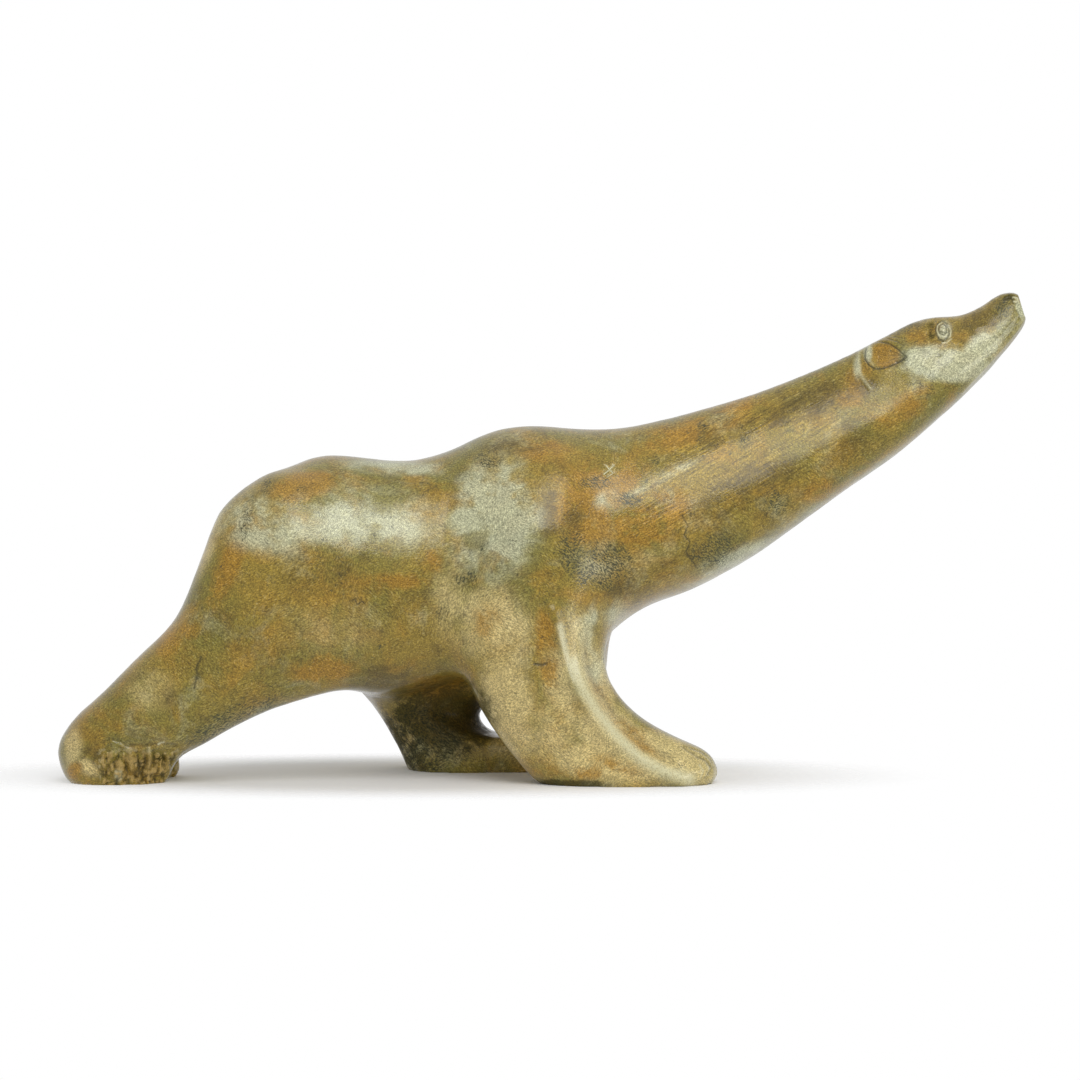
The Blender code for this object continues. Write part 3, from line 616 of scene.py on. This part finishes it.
def smooth(piece, passes, name, weights):
    """Smooths the piece as far as the weights say, which are kept in the named group."""
    set_group(piece, name, weights)
    apply_modifier(piece, "SMOOTH", factor=SMOOTH_FACTOR, iterations=passes, vertex_group=name)


def cast_blank(name):
    """A copy of the CAD bear's mesh with its loose triangles merged."""
    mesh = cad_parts["bear"].data.copy()
    mesh.name = name
    piece = bpy.data.objects.new(name, mesh)
    bpy.context.scene.collection.objects.link(piece)
    only(piece)
    bpy.ops.object.mode_set(mode="EDIT")
    bpy.ops.mesh.select_all(action="SELECT")
    bpy.ops.mesh.remove_doubles(threshold=MERGED_WITHIN)
    bpy.ops.object.mode_set(mode="OBJECT")
    return piece


def smooth_skin(piece, passes):
    """Takes the facets out without shrinking the forms, gently at the feet and the head."""
    points, normals = read_points(piece.data)
    view = SideView(points, normals)
    small_forms = np.maximum(
        smooth_step(FEET_BELOW, FEET_BELOW / 2, points[:, 2]),
        smooth_step(*HEAD_FROM, view.pixels[:, 0]))
    standing = points[:, 2] < ON_FLOOR
    smoothed = []
    for _ in range(2):
        smooth(piece, passes, "smooth", 1 - SMALL_FORMS_KEPT * small_forms)
        smoothed.append(read_points(piece.data)[0])
    once, twice = smoothed
    kept = 2 * once - twice
    kept[standing, 2] = 0.0
    write_points(piece.data, kept)
    smooth(piece, passes, "throat", 2 * view.patch(*THROAT))


def refine(piece, right_zones, left_zones, widest, reach, both_sides):
    """Cuts the faces of some zones in four, and those round the chased lines that are thin enough."""
    mesh = piece.data
    view = SideView(*read_points(mesh))
    right = np.zeros(len(mesh.vertices), bool)
    left = np.zeros(len(mesh.vertices), bool)
    for name, (line, half_width, _, _) in CHASED_LINES.items():
        if half_width <= widest:
            near = view.line_distance(line) < half_width + reach
            right |= near
            if both_sides and not name.startswith(RIGHT_ALONE):
                left |= near
    for wanted, zones in ((right, right_zones), (left, left_zones)):
        for zone in zones:
            wanted |= view.inset(zone) > 0
    wanted = np.where(view.right, right, left) & (view.strength > 0)
    only(piece)
    bpy.ops.object.mode_set(mode="EDIT")
    bpy.ops.mesh.select_all(action="DESELECT")
    bpy.ops.object.mode_set(mode="OBJECT")
    for face in mesh.polygons:
        face.select = all(wanted[corner] for corner in face.vertices)
    bpy.ops.object.mode_set(mode="EDIT")
    bpy.ops.mesh.subdivide(number_cuts=1, smoothness=1.0)
    bpy.ops.object.mode_set(mode="OBJECT")
    fresh = np.empty(len(mesh.vertices), bool)
    mesh.vertices.foreach_get("select", fresh)
    smooth(piece, FRESH_PASSES, "fresh", fresh.astype(float))


def cut_muzzle(piece, line):
    """Moves what lies beyond a line in the photograph back onto it."""
    points, normals = read_points(piece.data)
    start, end = np.array(line, float)
    along = (end - start) / np.linalg.norm(end - start)
    outward = np.array((along[1], -along[0]))
    beyond = np.clip((SideView(points, normals).pixels - start) @ outward, 0.0, None) * PIXEL_SIZE
    points[:, 0] -= beyond * outward[0]
    points[:, 2] += beyond * outward[1]
    write_points(piece.data, points)


def chase(piece, shape):
    """Models the lumps and cuts the lines, and returns on them the dark of the grooves with painted shade,
    the worn bronze with painted highlights, and the chiselling.
    """
    points, normals = read_points(piece.data)
    view = SideView(points, normals)
    height = np.zeros(len(points))
    dirt_and_shade = np.zeros(len(points))
    bare_and_highlight = np.zeros(len(points))
    for name, (centre, half_width, half_height, tilt, rise) in LUMPS.items():
        shown = view.right | (not name.startswith(RIGHT_ALONE))
        height += rise * shown * view.patch(centre, half_width, half_height, tilt)
    for name, (line, half_width, rise, dirtiness) in CHASED_LINES.items():
        shown = view.right | (not name.startswith(RIGHT_ALONE))
        bell = shown * np.exp(-(view.line_distance(line) / half_width) ** 2)
        height += rise * bell
        dirt_and_shade = np.maximum(dirt_and_shade, dirtiness * bell)
        bare_and_highlight = np.maximum(bare_and_highlight, -dirtiness * bell)
    height *= view.strength * PIXEL_SIZE * shape.relief
    for size, share, seed in UNEVENNESS:
        height += shape.unevenness * share * value_noise(points, size, seed)

    chiselled = smooth_step(0.0, CHISELLED_FADE, view.inset(CHISELLED_ZONE)) * view.strength * view.right
    facets = np.abs(value_noise(points, FACET_SIZE, seed=5))
    chips = np.abs(value_noise(points, CHIP_SIZE, seed=6))
    height += shape.chisel * chiselled * (facets + CHIP_SHARE * chips - CHISEL_MEAN)
    dirt_and_shade = np.maximum(dirt_and_shade, SEAM_DIRT * chiselled * smooth_step(*FACET_SEAMS, facets))
    bare_and_highlight = np.maximum(bare_and_highlight, TIP_BARENESS * chiselled * smooth_step(*CHIP_TIPS, chips))

    raised = points + normals * height[:, None]
    raised[points[:, 2] < ON_FLOOR / 2, 2] = 0.0
    write_points(piece.data, np.clip(raised, np.array(CAD_LOW), np.array(CAD_HIGH)))
    return {"dirt_and_shade": dirt_and_shade * view.strength, "bare_and_highlight": bare_and_highlight * view.strength, "chiselled": chiselled}


def set_attribute(mesh, name, values):
    attribute = mesh.attributes.new(name, "FLOAT", "POINT")
    attribute.data.foreach_set("value", values.astype(np.float32))


def paint_patches(piece, marks):
    """Stores how much of each layer of the patina, with its painted highlights and shade, lies on each
    vertex.
    """
    points, normals = read_points(piece.data)
    view = SideView(points, normals)
    layers = {name: np.zeros(len(points)) for name in LAYERS}
    right_share = smooth_step(*PATINA_FACING, view.facing)
    for patches, share in ((PATINA_RIGHT, right_share), (PATINA_LEFT, 1 - right_share)):
        for layer, centre, half_width, half_height, tilt, strength in patches:
            patch = view.patch(centre, half_width * PATCH_REACH, half_height * PATCH_REACH, tilt)
            layers[layer] = np.maximum(layers[layer], strength * patch * share)
    layers["brushing"] = np.clip(2 * view.patch(*NECK_BRUSHING), 0.0, 1.0)
    for name, values in {**layers, **marks}.items():
        set_attribute(piece.data, name, values)


class Shader:
    """Adds the nodes of one material and links them."""

    def __init__(self, name):
        self.material = bpy.data.materials.new(name)
        self.material.use_nodes = True
        self.tree = self.material.node_tree
        self.surface = self.tree.nodes["Principled BSDF"]
        self.count = 0

    def add(self, kind, **settings):
        made = self.tree.nodes.new(kind)
        column, row = divmod(self.count, NODES_IN_COLUMN)
        made.location = (-NODE_SPACING[0] * (1 + column), -NODE_SPACING[1] * row)
        self.count += 1
        for name, value in settings.items():
            setattr(made, name, value)
        return made

    def feed(self, socket, value):
        if isinstance(value, bpy.types.NodeSocket):
            self.tree.links.new(value, socket)
        elif socket.type == "RGBA":
            socket.default_value = (*value, 1.0)
        else:
            socket.default_value = value

    def maths(self, operation, *values, clamp=False):
        made = self.add("ShaderNodeMath", operation=operation, use_clamp=clamp)
        for socket, value in zip(made.inputs, values):
            self.feed(socket, value)
        return made.outputs[0]

    def mix(self, factor, under, over, blend="MIX"):
        made = self.add("ShaderNodeMix", data_type="RGBA", blend_type=blend)
        for index, value in zip(MIX_COLOURS, (factor, under, over)):
            self.feed(made.inputs[index], value)
        return made.outputs[MIXED_COLOUR]

    def mix_numbers(self, factor, first, second):
        made = self.add("ShaderNodeMix")
        for index, value in zip(MIX_NUMBERS, (factor, first, second)):
            self.feed(made.inputs[index], value)
        return made.outputs[MIXED_NUMBER]

    def shade(self, colour, pattern, low, high, darkest, brightest):
        """The colour made darker and brighter by a pattern."""
        return self.mix(1.0, colour, self.ramp(pattern, low, high, darkest, brightest), blend="MULTIPLY")

    def times(self, first, second):
        return self.maths("MULTIPLY", first, second)

    def attribute(self, name):
        return self.add("ShaderNodeAttribute", attribute_name=name).outputs["Fac"]

    def place(self, size, stretch=(1, 1, 1), tilt=0.0, shift=0.0, centre=(0, 0, 0)):
        """The object's own coordinates in units of a size in metres, stretched and tilted about Y."""
        mapping = self.add("ShaderNodeMapping", vector_type="TEXTURE")
        self.feed(mapping.inputs["Vector"], self.add("ShaderNodeTexCoord").outputs["Object"])
        mapping.inputs["Location"].default_value = tuple(
            middle + shift * share for middle, share in zip(centre, SHIFT_SHARES))
        mapping.inputs["Rotation"].default_value = (0.0, math.radians(tilt), 0.0)
        mapping.inputs["Scale"].default_value = tuple(size * share for share in stretch)
        return mapping.outputs[0]

    def noise(self, size, detail=3.0, roughness=0.55, distortion=0.0, **placing):
        """Random values about 0.5."""
        made = self.add("ShaderNodeTexNoise")
        self.feed(made.inputs["Vector"], self.place(size, **placing))
        made.inputs["Scale"].default_value = 1.0
        made.inputs["Detail"].default_value = detail
        made.inputs["Roughness"].default_value = roughness
        made.inputs["Distortion"].default_value = distortion
        return made.outputs[0]

    def cracks(self, size, turns=2.5, wander=0.9):
        """Distance from the nearest edge of random cells, whose edges turn and wander."""
        made = self.add("ShaderNodeTexVoronoi", feature="DISTANCE_TO_EDGE")
        wobble = self.add("ShaderNodeTexNoise")
        self.feed(wobble.inputs["Vector"], self.place(size))
        wobble.inputs["Scale"].default_value = turns
        shaken = self.add("ShaderNodeVectorMath", operation="MULTIPLY_ADD")
        self.feed(shaken.inputs[0], wobble.outputs["Color"])
        shaken.inputs[1].default_value = (wander, wander, wander)
        self.feed(shaken.inputs[2], self.place(size))
        self.feed(made.inputs["Vector"], shaken.outputs[0])
        made.inputs["Scale"].default_value = 1.0
        return made.outputs["Distance"]

    def ramp(self, value, low, high, to_low=0.0, to_high=1.0):
        made = self.add("ShaderNodeMapRange", interpolation_type="SMOOTHSTEP")
        for index, setting in enumerate((value, low, high, to_low, to_high)):
            self.feed(made.inputs[index], setting)
        return made.outputs[0]

    def bump(self, height, strength):
        made = self.add("ShaderNodeBump")
        made.inputs["Strength"].default_value = strength
        made.inputs["Distance"].default_value = BUMP_HEIGHT
        self.feed(made.inputs["Height"], height)
        return made.outputs[0]

    def ragged(self, name, noise, low=0.05, high=0.9, spread=0.6):
        """A layer's patches with edges broken up by a noise."""
        breaks = self.ramp(noise, 0.34, 0.66, 1 - spread, 1 + spread)
        return self.ramp(self.times(self.attribute(name), breaks), low, high)


def brushed_grain(s, size):
    """Fine short brush marks that change direction over the body, about 0.5."""
    directions = [
        s.noise(size, detail=1, roughness=0.5, stretch=(2.4, 1.4, 1), tilt=angle, shift=place)
        for angle, place in ((-24, 0.0), (38, 4.1), (-68, 7.3))
    ]
    first = s.ramp(s.noise(0.03, detail=2, shift=2.2), 0.46, 0.54)
    second = s.ramp(s.noise(0.03, detail=2, shift=6.4), 0.54, 0.62)
    return s.mix_numbers(second, s.mix_numbers(first, directions[0], directions[1]), directions[2])


def ground_colour(s, patina):
    """Ochre and olive that drift into honey, sage and brown clouds."""
    honey = s.ramp(s.noise(0.02, detail=5, roughness=0.66, distortion=0.5, shift=3.3), 0.46, 0.68)
    sage = s.ramp(s.noise(0.024, detail=5, roughness=0.66, distortion=0.5, shift=5.9), 0.5, 0.72)
    brown = s.ramp(s.noise(0.011, detail=5, roughness=0.68, shift=9.2), 0.5, 0.7)
    colour = s.mix(s.ramp(s.noise(0.045, detail=4), 0.4, 0.6), patina.ochre, patina.olive)
    colour = s.mix(s.times(honey, 0.6), colour, patina.honey)
    colour = s.mix(s.times(sage, 0.35), colour, patina.verdigris_and_highlight)
    return s.mix(s.times(brown, 0.5), colour, patina.umber_and_shade)


def waxed_patina(patina):
    """Cast bronze under a waxed patina in ochre and olive, with rust, dark brown, slate and pale bloom on it,
    and with highlights and shade painted into its colour.
    """
    s = Shader("waxed_bronze_patina")
    cloud = s.noise(patina.clouds, detail=5, roughness=0.68, distortion=0.4, shift=3.1)
    mottle = s.noise(patina.mottle, detail=5, roughness=0.7, shift=1.7)
    grain = s.noise(patina.grain, detail=1, roughness=0.5, shift=0.9)
    brushed = brushed_grain(s, patina.grain)
    streaks = s.noise(0.0008, detail=2, roughness=0.6, stretch=(14, 4, 1), tilt=-30, shift=5.1)
    streak_zones = s.ramp(s.noise(0.012, shift=4.4), 0.36, 0.52, 0.2, 1.0)
    streaked = s.times(s.attribute("brushing"), streak_zones)

    bloom = s.noise(0.014, roughness=0.58, shift=6.1)
    rust = s.ragged("rust", cloud)
    umber_and_shade = s.ragged("umber_and_shade", s.noise(0.010, detail=5, roughness=0.68, shift=7.7))
    verdigris_and_highlight = s.ragged("verdigris_and_highlight", bloom, low=0.0, high=1.1)
    cream_and_highlight = s.ragged("cream_and_highlight", bloom, low=0.0, high=1.0, spread=0.3)
    slate = s.ragged("slate", mottle)
    # Painted shade in hollows and under the body, also duller and with less wax.
    grime_and_shade = s.ragged("grime_and_shade", mottle, low=0.1, high=0.8)
    speckled = s.times(slate, s.ramp(brushed, 0.4, 0.56, 1.0, 0.3))
    # The dark of the grooves and the painted shade together.
    dirt_and_shade = s.maths("MAXIMUM", s.attribute("dirt_and_shade"), s.times(grime_and_shade, 0.85))
    crack_zones = s.ramp(s.noise(0.016, shift=2.9), 0.6, 0.66)
    cracks = s.times(s.ramp(s.cracks(patina.crackle), 0.0, 0.045, 1.0, 0.0), crack_zones)

    colour = ground_colour(s, patina)
    # The cream_and_highlight and verdigris_and_highlight layers paint highlights as well as patina, and
    # umber_and_shade paints shade as well as dark brown.
    for layer, strength, tone in (
        (cream_and_highlight, 0.75, patina.cream_and_highlight),
        (rust, 0.8, patina.rust),
        (umber_and_shade, 0.75, patina.umber_and_shade),
        (verdigris_and_highlight, 0.76, patina.verdigris_and_highlight),
        (speckled, 0.85, patina.slate),
    ):
        colour = s.mix(s.times(layer, strength), colour, tone)

    flecks = s.ramp(s.noise(0.0022, roughness=0.65, shift=5.3), 0.64, 0.7)
    fleck_zones = s.ramp(s.noise(0.03, shift=8.1), 0.46, 0.6)
    colour = s.mix(s.times(flecks, s.times(fleck_zones, 0.7)), colour, patina.slate)
    colour = s.mix(s.times(s.attribute("chiselled"), 0.05), colour, patina.umber_and_shade)
    colour = s.shade(colour, mottle, 0.3, 0.7, 0.9, 1.1)
    colour = s.shade(colour, brushed, 0.25, 0.75, 0.66, 1.34)
    colour = s.shade(colour, grain, 0.25, 0.75, 0.7, 1.36)
    colour = s.mix(streaked, colour, s.shade(colour, streaks, 0.3, 0.7, 0.66, 1.34))
    colour = s.mix(s.ramp(brushed, 0.62, 0.78, 0.0, 0.22), colour, patina.scratch_and_highlight)
    colour = s.mix(s.times(cracks, 0.6), colour, patina.dirt_and_shade)
    colour = s.mix(s.times(dirt_and_shade, 0.85), colour, patina.dirt_and_shade)
    # Worn and cut bronze, and painted highlight along the shin's crest and the fold behind the ear.
    metal_and_highlight = s.mix(s.attribute("chiselled"), patina.scratch_and_highlight, patina.cut)
    colour = s.mix(s.times(s.attribute("bare_and_highlight"), s.ramp(grain, 0.35, 0.55, 0.5, 1.0)), colour, metal_and_highlight)
    s.feed(s.surface.inputs["Base Color"], colour)

    dull = s.maths("MULTIPLY_ADD", slate, 0.15, s.ramp(mottle, 0.3, 0.7, 0.34, 0.46))
    dull = s.maths("MULTIPLY_ADD", s.attribute("chiselled"), 0.12, dull)
    dull = s.maths("MULTIPLY_ADD", grime_and_shade, 0.3, dull)
    s.feed(s.surface.inputs["Roughness"], dull)
    s.feed(s.surface.inputs["Coat Roughness"], s.ramp(cloud, 0.35, 0.65, 0.1, 0.26))
    waxed = s.maths("MULTIPLY_ADD", s.attribute("chiselled"), -0.5, 1.0)
    s.feed(s.surface.inputs["Coat Weight"], s.maths("MULTIPLY_ADD", grime_and_shade, -0.85, waxed, clamp=True))
    for name, value in (("Metallic", 0.1), ("Coat IOR", 1.42), ("Specular IOR Level", 0.2)):
        s.surface.inputs[name].default_value = value

    relief = s.maths("MULTIPLY_ADD", mottle, 0.8, s.times(brushed, 0.5))
    relief = s.maths("MULTIPLY_ADD", s.times(streaks, streaked), 0.8, relief)
    relief = s.maths("MULTIPLY_ADD", cracks, -0.3, relief)
    s.feed(s.surface.inputs["Normal"], s.bump(relief, 0.5))
    s.feed(s.surface.inputs["Coat Normal"], s.bump(relief, 0.25))
    return s.material


class BEAR_OT_bronze_bear(bpy.types.Operator):
    """Casts the bear from the CAD model, chases its face, feet and shin, and patinates it"""
    bl_idname = "bear.bronze_bear"
    bl_label = "Bronze Bear"

    def execute(self, context):
        shape = context.scene.bear_shape
        bear = cast_blank("bronze_bear")
        apply_modifier(bear, "REMESH", mode="VOXEL", voxel_size=shape.skin)
        smooth_skin(bear, shape.body_passes)
        for refinement in REFINEMENTS:
            refine(bear, *refinement)
        cut_muzzle(bear, MUZZLE_CUT)
        marks = chase(bear, shape)
        bear.data.shade_smooth()
        paint_patches(bear, marks)
        bear.data.materials.clear()
        bear.data.materials.append(waxed_patina(context.scene.bear_patina))
        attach(bear, "root")
        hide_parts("bear")
        return {"FINISHED"}


def soft_light(name, place, aim, width, height, power):
    data = bpy.data.lights.new(name, "AREA")
    data.shape = "RECTANGLE"
    data.size = width
    data.size_y = height
    data.energy = power
    light = bpy.data.objects.new(name, data)
    light.location = place
    light.rotation_euler = (Vector(aim) - Vector(place)).to_track_quat("-Z", "Y").to_euler()
    bpy.context.scene.collection.objects.link(light)


def white_paper(studio):
    """Matt white paper that fades into the white room towards the floor's edge."""
    s = Shader("white_paper")
    s.surface.inputs["Base Color"].default_value = (*studio.floor_colour, 1.0)
    s.surface.inputs["Roughness"].default_value = 0.9
    s.surface.inputs["Emission Color"].default_value = (1.0, 1.0, 1.0, 1.0)
    s.surface.inputs["Emission Strength"].default_value = studio.glow
    reach = s.add("ShaderNodeVectorMath", operation="LENGTH")
    s.feed(reach.inputs[0], s.place(studio.floor, stretch=PAPER_ELLIPSE, centre=PAPER_MIDDLE))
    s.feed(s.surface.inputs["Alpha"], s.ramp(reach.outputs["Value"], *PAPER_FADE, 1.0, 0.0))
    return s.material


def white_room(studio):
    """A white room that is brighter behind the bear than on the camera's side."""
    world = bpy.data.worlds.new("white_room")
    world.use_nodes = True
    tree = world.node_tree
    direction = tree.nodes.new("ShaderNodeTexCoord")
    parts = tree.nodes.new("ShaderNodeSeparateXYZ")
    front_to_back = tree.nodes.new("ShaderNodeMapRange")
    table = tree.nodes.new("ShaderNodeMapRange")
    walls_and_table = tree.nodes.new("ShaderNodeMath")
    walls_and_table.operation = "ADD"
    seen = tree.nodes.new("ShaderNodeLightPath")
    strength = tree.nodes.new("ShaderNodeMix")
    for made, settings in (
        (front_to_back, (*FRONT_TO_BACK, studio.room_front, studio.room_back)),
        (table, (*LEVEL_TO_TABLE, 0.0, studio.room_table)),
    ):
        for name, value in zip(("From Min", "From Max", "To Min", "To Max"), settings):
            made.inputs[name].default_value = value
    share, light, white = MIX_NUMBERS
    strength.inputs[white].default_value = 1.0
    background = tree.nodes["Background"]
    background.inputs["Color"].default_value = (1.0, 1.0, 1.0, 1.0)
    for out, into in (
        (direction.outputs["Generated"], parts.inputs[0]),
        (parts.outputs["Y"], front_to_back.inputs["Value"]),
        (parts.outputs["Z"], table.inputs["Value"]),
        (front_to_back.outputs[0], walls_and_table.inputs[0]),
        (table.outputs[0], walls_and_table.inputs[1]),
        (walls_and_table.outputs[0], strength.inputs[light]),
        (seen.outputs["Is Camera Ray"], strength.inputs[share]),
        (strength.outputs[0], background.inputs["Strength"]),
    ):
        tree.links.new(out, into)
    return world


class BEAR_OT_studio(bpy.types.Operator):
    """Lays the pale floor, hangs the soft lights and sets up the photograph's camera"""
    bl_idname = "bear.studio"
    bl_label = "Studio"

    def execute(self, context):
        studio = context.scene.bear_studio
        bpy.ops.object.select_all(action="DESELECT")
        bpy.ops.mesh.primitive_circle_add(vertices=FLOOR_CORNERS, radius=studio.floor, fill_type="NGON")
        floor = context.active_object
        floor.name = "floor"
        floor.data.materials.append(white_paper(studio))

        soft_light("key_light", *KEY_LIGHT, studio.key)
        soft_light("side_light", *SIDE_LIGHT, studio.side)
        context.scene.world = white_room(studio)
        context.scene.view_settings.view_transform = "Standard"

        lens = bpy.data.cameras.new("camera")
        lens.lens = LENS_MM
        lens.sensor_width = SENSOR_MM
        camera = bpy.data.objects.new("camera", lens)
        camera.location = CAMERA_AT
        camera.rotation_euler = (math.pi / 2 - CAMERA_PITCH, 0.0, 0.0)
        context.scene.collection.objects.link(camera)
        context.scene.camera = camera
        return {"FINISHED"}


class BEAR_PT_sidebar(bpy.types.Panel):
    """Lists the bear's and the studio's settings and steps"""
    bl_idname = "BEAR_PT_sidebar"
    bl_label = "Polar Bear"
    bl_space_type = "VIEW_3D"
    bl_region_type = "UI"
    bl_category = "Polar Bear"

    def draw(self, context):
        for group in (context.scene.bear_shape, context.scene.bear_patina):
            box = self.layout.box()
            for name in group.__annotations__:
                box.prop(group, name)
        self.layout.operator(BEAR_OT_bronze_bear.bl_idname)
        box = self.layout.box()
        for name in context.scene.bear_studio.__annotations__:
            box.prop(context.scene.bear_studio, name)
        self.layout.operator(BEAR_OT_studio.bl_idname)


CLASSES = (BearShape, BearPatina, BearStudio, BEAR_OT_bronze_bear, BEAR_OT_studio, BEAR_PT_sidebar)


def register():
    for entry in CLASSES:
        bpy.utils.register_class(entry)
    bpy.types.Scene.bear_shape = bpy.props.PointerProperty(type=BearShape)
    bpy.types.Scene.bear_patina = bpy.props.PointerProperty(type=BearPatina)
    bpy.types.Scene.bear_studio = bpy.props.PointerProperty(type=BearStudio)


def unregister():
    del bpy.types.Scene.bear_studio
    del bpy.types.Scene.bear_patina
    del bpy.types.Scene.bear_shape
    for entry in reversed(CLASSES):
        bpy.utils.unregister_class(entry)


def main():
    register()
    bpy.ops.bear.studio()
    bpy.ops.bear.bronze_bear()


if __name__ == "__main__":
    main()
